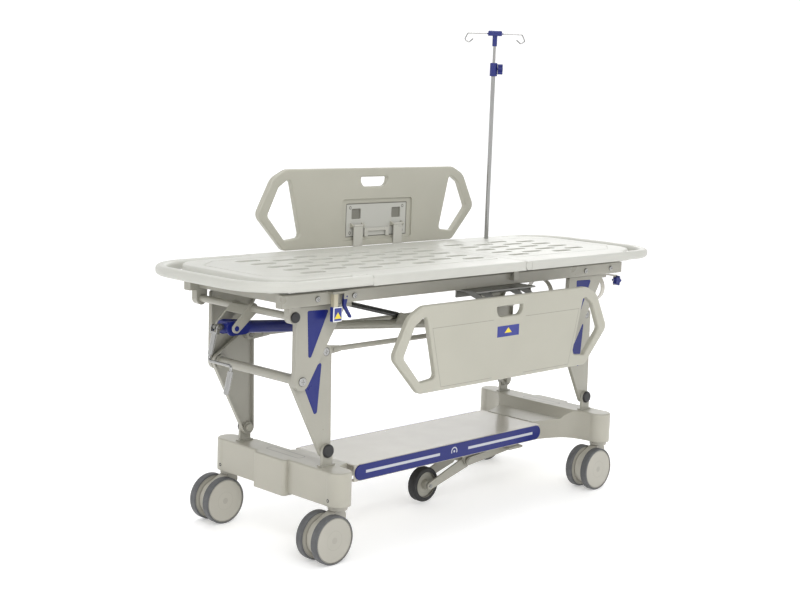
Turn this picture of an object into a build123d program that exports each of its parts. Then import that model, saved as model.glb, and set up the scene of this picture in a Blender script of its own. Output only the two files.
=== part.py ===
from build123d import *
import os

# Hospital stretcher trolley. Origin: floor, under the middle of the deck.
# +X runs from the foot end to the head end, +Y to the far side, +Z up. Millimetres.

# ---------------------------------------------------------------- driving dimensions
DECK_L = 1930.0          # overall length over the two push loops
DECK_W = 609.0           # overall width over the bumper edge
DECK_BULGE = 15.0        # how far each bowed end stands out past its corners
CORNER_R = 170.0         # plan radius of the deck corners
EDGE_W = 34.0            # plan width of the bumper edge and push loops
EDGE_Z0 = 826.0          # underside of the bumper edge
DECK_Z = 856.0           # top of the deck
BOARD_Z0 = 812.0         # underside of the boards
BOARD_SPLIT_X = 178.0    # hinge line of the backrest
BOARD_END_GAP = 59.0     # hand gap between a push loop and its board
LOOP_FOOT_X = -535.0     # where the foot push loop meets the board edge
LOOP_HEAD_X = 730.0      # where the head push loop meets the board edge
LOOP_SIDE_GAP = 14.0     # gap between the loop legs and the board

BASE_X = 29.1            # middle of the base
PIVOT_SPAN = 1269.0      # base pivot to base pivot
PIVOT_Z = 317.1
KNEE_DX, KNEE_DZ = -114.7, 227.2    # base pivot to knee pivot
ROD_DX, ROD_DZ = -5.8, 302.4        # base pivot to rod pivot
PUSH_DX, PUSH_DZ = -13.6, 252.9     # base pivot to the jack's push lug
B_FOOT = BASE_X - PIVOT_SPAN / 2
B_HEAD = BASE_X + PIVOT_SPAN / 2

CRANK_Y0, CRANK_Y1 = 176.0, 190.0   # inner and outer face of the crank plates
LEG_Y0, LEG_Y1 = 191.0, 207.0       # inner and outer face of the upper leg plates
POST_Y0, POST_Y1 = 191.0, 201.0
RAIL_Y0, RAIL_Y1 = 201.0, 233.0     # deck frame rails
RAIL_Z0, RAIL_Z1 = 770.5, 809.5
RAIL_X0, RAIL_X1 = -823.0, 791.0
PIN_R = 8.0
RUN = 0.05               # radial clearance of a running fit

CASTOR_SPAN = 1284.0     # stem to stem along X
CASTOR_TRACK = 518.8     # stem to stem along Y
CASTOR_TRAIL = 50.0
WHEEL_R = 75.0
HUB_R = 69.0
WHEEL_IN, WHEEL_OUT = 20.0, 46.0    # wheel faces, measured from the fork's middle plane
BEAM_Z0, BEAM_Z1 = 166.0, 270.0
STEM_R = 12.0

TRAY_HALF = 140.0
TRAY_TOP = 230.0
TRAY_X0, TRAY_X1 = -434.0, 480.0

SIDE_X = 54.0            # middle of both side rails
SIDE_Y0, SIDE_Y1 = 313.5, 335.5
ARM_LEN = 186.0
ARM_Y = 309.0            # plane of the swing arms
ARM_Z = 740.0            # swing arm pivot
ARM_XS = (-77.0, 118.0)  # arm middles, measured from the side rail's middle
PANEL_H = 272.0
PANEL_JOINT_UP = 72.0    # arm joint above the panel's lower edge

JACK = Vector(-835, 0, 689)         # jack hanger pin
PUSH = Vector(B_HEAD + PUSH_DX, 0, PIVOT_Z + PUSH_DZ)
JACK_DIR = (PUSH - JACK).normalized()
SPRING_TOP = Vector(-545, 0, 766.5)
SPRING_LOW = Vector(-120, 0, 661)

os.makedirs("parts", exist_ok=True)
OUT = Plane.XZ                       # sketches on it are X, Z; its normal points to -Y


def save(part, name):
    """Label a finished piece and write its STEP file."""
    part.label = name
    export_step(part, f"parts/{name}.step")


def both_sides(part):
    """A near-side piece and its mirror image on the far side, as separate solids."""
    return Compound(children=[part, mirror(part, about=Plane.XZ)])


def group(parts):
    """Several separate solids as one node."""
    return Compound(children=list(parts))


def along(start, end):
    """A plane at start whose normal points to end."""
    return Plane(origin=start, z_dir=end - start)


def bar(start, end, radius, inner=0.0):
    """A round bar or tube from start to end."""
    with BuildPart(along(start, end)) as rod:
        Cylinder(radius, (end - start).length, align=(Align.CENTER, Align.CENTER, Align.MIN))
        if inner:
            Cylinder(inner, (end - start).length, align=(Align.CENTER, Align.CENTER, Align.MIN),
                     mode=Mode.SUBTRACT)
    return rod.part


def hull_sketch(circles):
    """Outline wrapped tightly round circles given as (x, z, radius)."""
    for x, z, radius in circles:
        with Locations((x, z)):
            Circle(radius)
    make_hull()


# ---------------------------------------------------------------- castors
def castor_fork(x, y):
    """Swivelling castor body: stem, neck and the housing between the two wheels."""
    wheel_x = x - CASTOR_TRAIL
    with BuildPart() as fork:
        with BuildSketch(OUT.offset(-y - WHEEL_IN + 3)):
            hull_sketch([(wheel_x, WHEEL_R, 56), (x - 4, 132, 24)])
        extrude(amount=2 * WHEEL_IN - 6)
        with BuildSketch(Plane.XY.offset(2 * WHEEL_R + 3)):
            with Locations((x, y)):
                Circle(30)
        extrude(amount=BEAM_Z0 - 2 * WHEEL_R - 5)
        fillet(fork.edges().filter_by(GeomType.CIRCLE).group_by(Axis.Z)[-1], 3)
        with Locations((x, y, BEAM_Z0 - 4)):
            Cylinder(STEM_R, 66, align=(Align.CENTER, Align.CENTER, Align.MIN))
        with BuildSketch(OUT.offset(-y - 50)):
            with Locations((wheel_x, WHEEL_R)):
                Circle(10 + RUN)
        extrude(amount=100, mode=Mode.SUBTRACT)
    return fork.part


def castor_wheel(x, y):
    """Twin wheel: two disc hubs on one axle, with a tyre round each."""
    solids = []
    with BuildPart() as hub:
        with BuildSketch(OUT.offset(-y - WHEEL_OUT + 4)):
            with Locations((x, WHEEL_R)):
                Circle(10)
        extrude(amount=2 * WHEEL_OUT - 8)
        for side in (-1, 1):
            face = Plane(origin=(x, y + side * WHEEL_IN, WHEEL_R), z_dir=(0, side, 0))
            with BuildSketch(face):
                Circle(HUB_R)
            extrude(amount=WHEEL_OUT - WHEEL_IN - 1)
        fillet(hub.edges().filter_by(GeomType.CIRCLE).sort_by(Axis.Y)[0], 3)
        fillet(hub.edges().filter_by(GeomType.CIRCLE).sort_by(Axis.Y)[-1], 3)
    solids.append(hub.part)
    for side in (-1, 1):
        face = Plane(origin=(x, y + side * WHEEL_IN, WHEEL_R), z_dir=(0, side, 0))
        with BuildPart() as tyre:
            with BuildSketch(face):
                Circle(WHEEL_R)
                Circle(HUB_R, mode=Mode.SUBTRACT)
            extrude(amount=WHEEL_OUT - WHEEL_IN)
            fillet(tyre.edges().filter_by(GeomType.CIRCLE).group_by(SortBy.RADIUS)[-1], 4.5)
        solids.append(tyre.part)
    return group(solids)


STEMS = [(BASE_X + sx * CASTOR_SPAN / 2, sy * CASTOR_TRACK / 2) for sx in (-1, 1) for sy in (-1, 1)]
for number, (stem_x, stem_y) in enumerate(STEMS, start=1):
    save(castor_fork(stem_x, stem_y), f"castor_fork_{number}")
    save(castor_wheel(stem_x - CASTOR_TRAIL, stem_y), f"castor_wheel_{number}")


# ---------------------------------------------------------------- base
def base_beam(sign, pivot_x, tray_x):
    """Moulded cross beam: round castor pods, a straight outer face and a flare towards the tray."""
    stem_x = BASE_X + sign * CASTOR_SPAN / 2
    half = CASTOR_TRACK / 2
    outer = stem_x + sign * 38
    inner = stem_x - sign * 38
    with BuildPart() as beam:
        with BuildSketch(Plane.XY.offset(BEAM_Z0)):
            for side in (-1, 1):
                with Locations((stem_x, side * half)):
                    Circle(40)
            with BuildLine():
                Polyline((outer, -half), (outer, half), (inner, half))
                Spline((inner, half), (inner - sign * 22, 170), (tray_x, TRAY_HALF - 34),
                       tangents=[(-sign * 0.05, -1), (-sign, -0.35)])
                Line((tray_x, TRAY_HALF - 34), (tray_x, 34 - TRAY_HALF))
                Spline((tray_x, 34 - TRAY_HALF), (inner - sign * 22, -170), (inner, -half),
                       tangents=[(sign, -0.35), (sign * 0.05, -1)])
                Line((inner, -half), (outer, -half))
            make_face()
        extrude(amount=BEAM_Z1 - BEAM_Z0)
        # The flare is lower than the beam, level with the tray's edge.
        with BuildSketch(OUT.offset(-400)):
            with BuildLine():
                Polyline((inner - sign * 10, BEAM_Z1 + 1), (inner - sign * 46, TRAY_TOP + 6),
                         (tray_x - sign * 2, TRAY_TOP + 2), (tray_x - sign * 2, BEAM_Z1 + 1), close=True)
            make_face()
        extrude(amount=800, mode=Mode.SUBTRACT)
        with BuildSketch(Plane.XY.offset(BEAM_Z0 - 8)):
            with Locations((stem_x + sign * 24, 0)):
                RectangleRounded(64, 150, 12)
        extrude(amount=BEAM_Z1 - BEAM_Z0 + 8)
        fillet(beam.edges().filter_by(Plane.XY).group_by(Axis.Z)[-1], 6)
        with Locations((stem_x, half, BEAM_Z0), (stem_x, -half, BEAM_Z0)):
            Cylinder(STEM_R + RUN, 70, align=(Align.CENTER, Align.CENTER, Align.MIN), mode=Mode.SUBTRACT)
    return beam.part


foot_beam = base_beam(-1, B_FOOT, TRAY_X0)
head_beam = base_beam(1, B_HEAD, TRAY_X1)
save(foot_beam, "base_beam_foot")
save(head_beam, "base_beam_head")

with BuildPart() as tray:
    with BuildSketch(Plane.YZ.offset(TRAY_X0 + 0.5)):
        with Locations((0, TRAY_TOP - 2)):
            Rectangle(2 * TRAY_HALF, 4)
        for side in (-1, 1):
            with Locations((side * (TRAY_HALF - 2), TRAY_TOP - 28)):
                Rectangle(4, 52)
            with Locations((side * (TRAY_HALF - 10), TRAY_TOP - 52)):
                Rectangle(20, 4)
    extrude(amount=TRAY_X1 - TRAY_X0 - 1)
    with BuildSketch(Plane.XY.offset(TRAY_TOP - 54)):
        for side in (-1, 1):
            with Locations(((TRAY_X0 + TRAY_X1) / 2, side * 62)):
                Rectangle(TRAY_X1 - TRAY_X0 - 1, 40)
    extrude(amount=50)
    fillet(tray.edges().filter_by(Axis.X).group_by(Axis.Z)[-1], 3)
save(tray.part, "storage_tray")

with BuildPart() as trim:
    with BuildSketch(OUT.offset(TRAY_HALF)):
        with Locations(((TRAY_X0 + TRAY_X1) / 2, TRAY_TOP - 26)):
            SlotOverall(TRAY_X1 - TRAY_X0 - 2, 50)
    extrude(amount=5)
    fillet(trim.faces().sort_by(Axis.Y)[0].edges(), 1.5)
save(both_sides(trim.part), "tray_trims")


def pivot_post(x):
    """Flat lug that stands on the base and carries one base pivot."""
    with BuildPart() as post:
        with BuildSketch(OUT.offset(POST_Y0)):
            with Locations((x, PIVOT_Z)):
                Circle(21)
            with Locations((x, (PIVOT_Z + BEAM_Z1) / 2)):
                Rectangle(42, PIVOT_Z - BEAM_Z1)
        extrude(amount=POST_Y1 - POST_Y0)
        fillet(post.edges().filter_by(GeomType.CIRCLE).group_by(Axis.Y)[0], 2)
        with Locations((x, -(POST_Y0 + 4), BEAM_Z1)):
            Box(54, 20, 5, align=(Align.CENTER, Align.CENTER, Align.MIN))
        with BuildSketch(OUT.offset(POST_Y0)):
            with Locations((x, PIVOT_Z)):
                Circle(PIN_R)
        extrude(amount=20, mode=Mode.SUBTRACT)
    return both_sides(post.part).children


save(group([*pivot_post(B_FOOT), *pivot_post(B_HEAD)]), "pivot_posts")


def base_pin(x):
    """Pivot pin with a domed black cap outside the post."""
    with BuildPart() as pin:
        with BuildSketch(OUT.offset(CRANK_Y0 - 8)):
            with Locations((x, PIVOT_Z)):
                Circle(PIN_R)
        extrude(amount=POST_Y1 - CRANK_Y0 + 8)
        with BuildSketch(OUT.offset(POST_Y1)):
            with Locations((x, PIVOT_Z)):
                Circle(21)
        extrude(amount=8)
        fillet(pin.edges().filter_by(GeomType.CIRCLE).sort_by(Axis.Y)[0], 6)
        with BuildSketch(OUT.offset(CRANK_Y0 - 8)):
            with Locations((x, PIVOT_Z)):
                Circle(12)
        extrude(amount=6)
    return both_sides(pin.part).children


save(group([*base_pin(B_FOOT), *base_pin(B_HEAD)]), "base_pivot_pins")

# ---------------------------------------------------------------- fifth wheel
FIFTH_PIVOT = Vector(172, 0, 132)
FIFTH_AXLE = Vector(-3, -30, 70)
FIFTH_R = 60.0
with BuildPart() as bracket:
    with Locations((FIFTH_PIVOT.X + 24, FIFTH_AXLE.Y, TRAY_TOP - 54)):
        Box(150, 104, 4, align=(Align.CENTER, Align.CENTER, Align.MAX))
    for side in (-1, 1):
        with BuildSketch(OUT.offset(-FIFTH_AXLE.Y + side * 42 - 3)):
            hull_sketch([(FIFTH_PIVOT.X, FIFTH_PIVOT.Z, 16), (FIFTH_PIVOT.X - 24, 166, 8),
                         (FIFTH_PIVOT.X + 70, 166, 8)])
        extrude(amount=6)
    with BuildSketch(OUT.offset(-FIFTH_AXLE.Y - 60)):
        with Locations((FIFTH_PIVOT.X, FIFTH_PIVOT.Z)):
            Circle(10 + RUN)
    extrude(amount=120, mode=Mode.SUBTRACT)
save(bracket.part, "fifth_wheel_bracket")

with BuildPart() as rocker:
    for side in (-1, 1):
        with BuildSketch(OUT.offset(-FIFTH_AXLE.Y + side * 34 - 3)):
            hull_sketch([(FIFTH_AXLE.X, FIFTH_AXLE.Z, 13), (FIFTH_PIVOT.X, FIFTH_PIVOT.Z - 6, 20)])
        extrude(amount=6)
    with BuildSketch(OUT.offset(-FIFTH_AXLE.Y - 56)):
        with Locations((FIFTH_PIVOT.X, FIFTH_PIVOT.Z)):
            Circle(10)
    extrude(amount=112)
    with BuildSketch(OUT.offset(-FIFTH_AXLE.Y + 48)):
        hull_sketch([(FIFTH_PIVOT.X, FIFTH_PIVOT.Z, 14), (FIFTH_PIVOT.X + 214, FIFTH_PIVOT.Z + 20, 11)])
    extrude(amount=6)
    with BuildSketch(OUT.offset(-FIFTH_AXLE.Y + 46)):
        with Locations((FIFTH_PIVOT.X + 204, FIFTH_PIVOT.Z + 24)):
            RectangleRounded(74, 8, 3)
    extrude(amount=44)
    with BuildSketch(OUT.offset(-FIFTH_AXLE.Y - 60)):
        with Locations((FIFTH_AXLE.X, FIFTH_AXLE.Z)):
            Circle(6 + RUN)
    extrude(amount=120, mode=Mode.SUBTRACT)
save(rocker.part, "fifth_wheel_rocker")

with BuildPart() as hub:
    with BuildSketch(OUT.offset(-FIFTH_AXLE.Y - 40)):
        with Locations((FIFTH_AXLE.X, FIFTH_AXLE.Z)):
            Circle(6)
    extrude(amount=80)
    with BuildSketch(OUT.offset(-FIFTH_AXLE.Y - 26)):
        with Locations((FIFTH_AXLE.X, FIFTH_AXLE.Z)):
            Circle(16)
    extrude(amount=52)
    with BuildSketch(OUT.offset(-FIFTH_AXLE.Y - 8)):
        with Locations((FIFTH_AXLE.X, FIFTH_AXLE.Z)):
            Circle(44)
    extrude(amount=16)
with BuildPart() as tyre:
    with BuildSketch(OUT.offset(-FIFTH_AXLE.Y - 17)):
        with Locations((FIFTH_AXLE.X, FIFTH_AXLE.Z)):
            Circle(FIFTH_R)
            Circle(44, mode=Mode.SUBTRACT)
    extrude(amount=34)
    fillet(tyre.edges().filter_by(GeomType.CIRCLE).group_by(SortBy.RADIUS)[-1], 7)
save(group([hub.part, tyre.part]), "fifth_wheel")


# ---------------------------------------------------------------- lift linkage
ROD_HEAD_R, ROD_HEAD_H = 13.0, 4.0   # rod bolt heads, sunk flush so the upper legs pass them


def crank_window(x):
    return [(x - 31, PIVOT_Z + 265, 6), (x - 99, PIVOT_Z + 232, 6), (x - 45.5, PIVOT_Z + 126, 8)]


def crank_plate(x):
    """Near-side bell crank: a pressed pan with base, knee and rod pivots and a window."""
    knee = (x + KNEE_DX, PIVOT_Z + KNEE_DZ)
    top = (x + ROD_DX, PIVOT_Z + ROD_DZ)
    corners = [(x, PIVOT_Z, 22), (*knee, 27), (*top, 21)]
    with BuildPart() as plate:
        with BuildSketch(OUT.offset(CRANK_Y0)):
            hull_sketch(corners)
        extrude(amount=CRANK_Y1 - CRANK_Y0)
        fillet(plate.faces().sort_by(Axis.Y)[0].edges(), 2)
        with BuildSketch(OUT.offset(CRANK_Y0)):
            hull_sketch([(cx, cz, r - 4) for cx, cz, r in corners])
        extrude(amount=CRANK_Y1 - CRANK_Y0 - 4, mode=Mode.SUBTRACT)
        with BuildSketch(OUT.offset(CRANK_Y0)):
            with Locations((x, PIVOT_Z), knee, top):
                Circle(17)
        extrude(amount=CRANK_Y1 - CRANK_Y0)
        with BuildSketch(OUT.offset(CRANK_Y1 - 2)):
            hull_sketch(crank_window(x))
        extrude(amount=2, mode=Mode.SUBTRACT)
        with BuildSketch(OUT.offset(CRANK_Y0 - 10)):
            with Locations((x, PIVOT_Z), knee, top):
                Circle(PIN_R + RUN)
        extrude(amount=40, mode=Mode.SUBTRACT)
        with BuildSketch(OUT.offset(CRANK_Y1 - ROD_HEAD_H)):
            with Locations(top):
                Circle(ROD_HEAD_R + 0.2)
        extrude(amount=ROD_HEAD_H, mode=Mode.SUBTRACT)
    return plate.part


def welded_cranks(x, lug):
    """Both plates of one end and the cross tube between the knees."""
    plates = both_sides(crank_plate(x)).children
    knee_z = PIVOT_Z + KNEE_DZ
    with BuildPart() as cranks:
        add(plates[0])
        add(plates[1])
        with BuildSketch(OUT.offset(-CRANK_Y0)):
            with Locations((x + KNEE_DX, knee_z)):
                Circle(15)
        extrude(amount=2 * CRANK_Y0)
        for side in (-1, 1):
            collar = Plane(origin=(x + KNEE_DX, side * (CRANK_Y0 - 3), knee_z), z_dir=(0, -1, 0))
            with Locations(collar.location):
                Cylinder(21, 6)
        if lug:
            with BuildSketch(OUT.offset(-CRANK_Y0)):
                with Locations((x - 20, PIVOT_Z + 205)):
                    Circle(15)
            extrude(amount=2 * CRANK_Y0)
            with BuildSketch(OUT.offset(-9)):
                hull_sketch([(PUSH.X, PUSH.Z, 19), (x - 20, PIVOT_Z + 205, 17)])
            extrude(amount=18)
            with BuildSketch(OUT.offset(-30)):
                with Locations((PUSH.X, PUSH.Z)):
                    Circle(PIN_R)
            extrude(amount=60, mode=Mode.SUBTRACT)
    return cranks.part


def crank_insert(x):
    """Blue cover plate in the window of one crank."""
    with BuildPart() as insert:
        with BuildSketch(OUT.offset(CRANK_Y1 - 2)):
            hull_sketch(crank_window(x))
        extrude(amount=2.4)
        fillet(insert.faces().sort_by(Axis.Y)[0].edges(), 1)
    return both_sides(insert.part)


def bolt(x, z, y0, y1, head, shank=PIN_R, head_h=5.0):
    """Near-side bolt along Y: shank from y0 to y1 with a domed head outside."""
    with BuildPart() as made:
        with BuildSketch(OUT.offset(y0)):
            with Locations((x, z)):
                Circle(shank)
        extrude(amount=y1 - y0)
        with BuildSketch(OUT.offset(y1)):
            with Locations((x, z)):
                Circle(head)
        extrude(amount=head_h)
        fillet(made.edges().filter_by(GeomType.CIRCLE).sort_by(Axis.Y)[0], head_h * 0.6)
        with BuildSketch(OUT.offset(y1 + head_h - 1)):
            with Locations((x, z)):
                Rectangle(head, 1.8)
                Rectangle(1.8, head)
        extrude(amount=4, mode=Mode.SUBTRACT)
    return made.part


ROD_Y0, ROD_Y1 = 160.0, 174.0        # thickness of the connecting rods' ends
for end, pivot, lug in (("foot", B_FOOT, False), ("head", B_HEAD, True)):
    save(welded_cranks(pivot, lug), f"{end}_cranks")
    save(crank_insert(pivot), f"{end}_crank_inserts")
    rod_bolt = bolt(pivot + ROD_DX, PIVOT_Z + ROD_DZ, ROD_Y0 - 2, CRANK_Y1 - ROD_HEAD_H,
                    ROD_HEAD_R, head_h=ROD_HEAD_H)
    save(both_sides(rod_bolt), f"{end}_rod_bolts")

with BuildPart() as rod:
    rod_z = PIVOT_Z + ROD_DZ
    rod_ends = [B_FOOT + ROD_DX, B_HEAD + ROD_DX]
    for x, inward in zip(rod_ends, (1, -1)):
        with BuildSketch(OUT.offset(ROD_Y0 + 4)):
            hull_sketch([(x, rod_z, 16), (x + inward * 70, rod_z, 9)])
        extrude(amount=ROD_Y1 - ROD_Y0 - 7)
    with BuildSketch(Plane.YZ.offset(rod_ends[0] + 44)):
        with Locations((-(ROD_Y0 + ROD_Y1) / 2, rod_z)):
            Circle(8)
    extrude(amount=rod_ends[1] - rod_ends[0] - 88)
    with BuildSketch(OUT.offset(ROD_Y0 - 10)):
        with Locations(*[(x, rod_z) for x in rod_ends]):
            Circle(PIN_R + RUN)
    extrude(amount=40, mode=Mode.SUBTRACT)
save(rod.part, "connecting_rod_near")
save(mirror(rod.part, about=Plane.XZ), "connecting_rod_far")


def leg_window(x):
    knee = x + KNEE_DX
    return [(knee + 20, 747, 6), (knee + 89, 745, 6), (knee + 28, 620, 7)]


def upper_leg(x):
    """Near-side upper leg plate: bolted inside the deck rail, hinged at the knee."""
    knee = (x + KNEE_DX, PIVOT_Z + KNEE_DZ)
    corners = [(*knee, 28), (knee[0] - 20, 758, 8), (knee[0] + 154, 756, 9)]
    with BuildPart() as leg:
        with BuildSketch(OUT.offset(LEG_Y0)):
            hull_sketch(corners)
        extrude(amount=LEG_Y1 - LEG_Y0)
        fillet(leg.faces().sort_by(Axis.Y)[0].edges(), 2)
        with BuildSketch(OUT.offset(LEG_Y0)):
            hull_sketch([(cx, cz, r - 4) for cx, cz, r in corners])
        extrude(amount=LEG_Y1 - LEG_Y0 - 4, mode=Mode.SUBTRACT)
        with BuildSketch(OUT.offset(LEG_Y0)):
            with Locations(knee):
                Circle(18)
        extrude(amount=LEG_Y1 - LEG_Y0)
        with BuildSketch(OUT.offset(LEG_Y0)):
            with Locations((knee[0] + 86, 778)):
                Rectangle(218, 52)
        extrude(amount=RAIL_Y0 - LEG_Y0 - 0.2)
        with BuildSketch(OUT.offset(LEG_Y1 - 2)):
            hull_sketch(leg_window(x))
        extrude(amount=2, mode=Mode.SUBTRACT)
        with BuildSketch(OUT.offset(LEG_Y0 - 10)):
            with Locations(knee):
                Circle(PIN_R)
        extrude(amount=40, mode=Mode.SUBTRACT)
        with BuildSketch(OUT.offset(LEG_Y0 - 10)):
            with Locations((x - 86.6, 790), (x + 59.5, 790)):
                Circle(5)
        extrude(amount=40, mode=Mode.SUBTRACT)
    return both_sides(leg.part).children


def leg_insert(x):
    with BuildPart() as insert:
        with BuildSketch(OUT.offset(LEG_Y1 - 2)):
            hull_sketch(leg_window(x))
        extrude(amount=2.4)
        fillet(insert.faces().sort_by(Axis.Y)[0].edges(), 1)
    return both_sides(insert.part).children


save(group([*upper_leg(B_FOOT), *upper_leg(B_HEAD)]), "upper_legs")
save(group([*leg_insert(B_FOOT), *leg_insert(B_HEAD)]), "upper_leg_inserts")
knee_pins = [both_sides(bolt(x + KNEE_DX, PIVOT_Z + KNEE_DZ, CRANK_Y0 + 2, LEG_Y1, 14)).children
             for x in (B_FOOT, B_HEAD)]
save(group([pin for pair in knee_pins for pin in pair]), "knee_pins")

# ---------------------------------------------------------------- screw jack
with BuildPart() as housing:
    for side in (-1, 1):
        with BuildSketch(OUT.offset(side * 22 - 3)):
            hull_sketch([(JACK.X, JACK.Z - 2, 22), (JACK.X + 46, JACK.Z - 4, 19)])
        extrude(amount=6)
    with BuildSketch(along(JACK - JACK_DIR * 20, PUSH)):
        RectangleRounded(34, 44, 4)
    extrude(amount=84)
    with BuildSketch(along(JACK + JACK_DIR * 30, PUSH)):
        Circle(19)
    extrude(amount=365)
    with BuildSketch(along(JACK + JACK_DIR * 20, PUSH)):
        Circle(15 + RUN)
    extrude(amount=400, mode=Mode.SUBTRACT)
    with BuildSketch(along(JACK - JACK_DIR * 60, PUSH)):
        Circle(8 + RUN)
    extrude(amount=100, mode=Mode.SUBTRACT)
    for side in (-1, 1):
        with Locations(Plane(origin=(JACK.X, side * 34, JACK.Z), z_dir=(0, 1, 0)).location):
            Cylinder(8, 20)
save(housing.part, "jack_housing")

with BuildPart() as push_tube:
    fork_start = PUSH - JACK_DIR * 78
    tube_start = JACK + JACK_DIR * 215
    with BuildSketch(along(tube_start, PUSH)):
        Circle(15)
    extrude(amount=(fork_start - tube_start).length)
    with BuildSketch(Plane(origin=fork_start - JACK_DIR * 2, x_dir=(0, 1, 0), z_dir=JACK_DIR)):
        RectangleRounded(46, 40, 5)
    extrude(amount=22)
    for side in (-1, 1):
        with BuildSketch(OUT.offset(side * 16 - 4)):
            hull_sketch([(PUSH.X, PUSH.Z, 19), ((PUSH - JACK_DIR * 62).X, (PUSH - JACK_DIR * 62).Z, 19)])
        extrude(amount=8)
        with Locations(Plane(origin=(PUSH.X, side * 23, PUSH.Z), z_dir=(0, 1, 0)).location):
            Cylinder(12, 6)
    for side in (-1, 1):
        with BuildSketch(OUT.offset(side * 13 - 3)):
            hull_sketch([(SPRING_LOW.X, SPRING_LOW.Z, 10), (SPRING_LOW.X - 18, 640, 8),
                         (SPRING_LOW.X + 46, 636, 8)])
        extrude(amount=6)
    with BuildSketch(OUT.offset(-10)):
        with Locations((SPRING_LOW.X, SPRING_LOW.Z)):
            Circle(4)
    extrude(amount=20)
    with BuildSketch(along(tube_start - JACK_DIR * 5, PUSH)):
        Circle(10)
    extrude(amount=700, mode=Mode.SUBTRACT)
    # Nut at the driven end, running on the lead screw.
    with BuildSketch(along(tube_start, PUSH)):
        Circle(10)
        Circle(8 + RUN, mode=Mode.SUBTRACT)
    extrude(amount=40)
save(push_tube.part, "push_tube")

FOLD = JACK - JACK_DIR * 45          # folding hinge of the crank
with BuildPart() as screw:
    with BuildSketch(along(FOLD + JACK_DIR * 12, PUSH)):
        Circle(8)
    extrude(amount=560)
    with BuildSketch(along(FOLD + JACK_DIR * 7, PUSH)):
        RegularPolygon(10, 6)
    extrude(amount=14)
    with BuildSketch(OUT.offset(-5)):
        hull_sketch([(FOLD.X, FOLD.Z, 7), ((FOLD + JACK_DIR * 12).X, (FOLD + JACK_DIR * 12).Z, 7)])
    extrude(amount=10)
    with BuildSketch(OUT.offset(-17)):
        with Locations((FOLD.X, FOLD.Z)):
            Circle(4)
    extrude(amount=34)
save(screw.part, "jack_screw")

# ---------------------------------------------------------------- folding crank handle
SLEEVE_DIR = Vector(-0.24, 0, -0.97).normalized()
ELBOW = FOLD + SLEEVE_DIR * 100
GRIP_TOP = ELBOW + Vector(0, -108, 0)
CHEEK_END = FOLD + SLEEVE_DIR * 12
with BuildPart() as crank_handle:
    with BuildSketch(along(FOLD + SLEEVE_DIR * 14, ELBOW)):
        Circle(7.5)
    extrude(amount=68)
    for side in (-1, 1):
        with BuildSketch(OUT.offset(side * 14 - 2)):
            hull_sketch([(FOLD.X, FOLD.Z, 7), (CHEEK_END.X, CHEEK_END.Z, 6)])
        extrude(amount=4)
    with BuildSketch(Plane(origin=FOLD + SLEEVE_DIR * 14, x_dir=(0, 1, 0), z_dir=SLEEVE_DIR)):
        Rectangle(32, 12)
    extrude(amount=6)
    with BuildSketch(OUT.offset(-20)):
        with Locations((FOLD.X, FOLD.Z)):
            Circle(4 + RUN)
    extrude(amount=40, mode=Mode.SUBTRACT)
    with BuildLine():
        FilletPolyline(FOLD + SLEEVE_DIR * 80, ELBOW, GRIP_TOP, GRIP_TOP + SLEEVE_DIR * 84, radius=11)
    with BuildSketch(along(FOLD + SLEEVE_DIR * 80, ELBOW)):
        Circle(4.5)
    sweep()
save(crank_handle.part, "crank_handle")

with BuildPart() as grip:
    with BuildSketch(along(GRIP_TOP + SLEEVE_DIR * 14, GRIP_TOP + SLEEVE_DIR * 90)):
        Circle(8)
        Circle(4.5 + RUN, mode=Mode.SUBTRACT)
    extrude(amount=68)
    fillet(grip.edges().filter_by(GeomType.CIRCLE).group_by(SortBy.RADIUS)[-1], 2)
save(grip.part, "crank_grip")

# ---------------------------------------------------------------- lift-assist gas spring
SPRING_DIR = (SPRING_TOP - SPRING_LOW).normalized()
with BuildPart() as cylinder:
    with BuildSketch(along(SPRING_LOW + SPRING_DIR * 22, SPRING_TOP)):
        Circle(9)
    extrude(amount=238)
    with BuildSketch(along(SPRING_LOW + SPRING_DIR * 12, SPRING_TOP)):
        Circle(6)
    extrude(amount=12)
    with BuildSketch(OUT.offset(-7)):
        with Locations((SPRING_LOW.X, SPRING_LOW.Z)):
            Circle(8)
    extrude(amount=14)
    with BuildSketch(OUT.offset(-8)):
        with Locations((SPRING_LOW.X, SPRING_LOW.Z)):
            Circle(4 + RUN)
    extrude(amount=16, mode=Mode.SUBTRACT)
    with BuildSketch(along(SPRING_LOW + SPRING_DIR * 40, SPRING_TOP)):
        Circle(4 + RUN)
    extrude(amount=260, mode=Mode.SUBTRACT)
save(cylinder.part, "gas_spring_cylinder")

with BuildPart() as spring_rod:
    with BuildSketch(along(SPRING_TOP - SPRING_DIR * 6, SPRING_LOW)):
        Circle(4)
    extrude(amount=240)
    with BuildSketch(OUT.offset(-6)):
        with Locations((SPRING_TOP.X, SPRING_TOP.Z)):
            Circle(9)
            Circle(4.5, mode=Mode.SUBTRACT)
    extrude(amount=12)
save(spring_rod.part, "gas_spring_rod")

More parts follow.
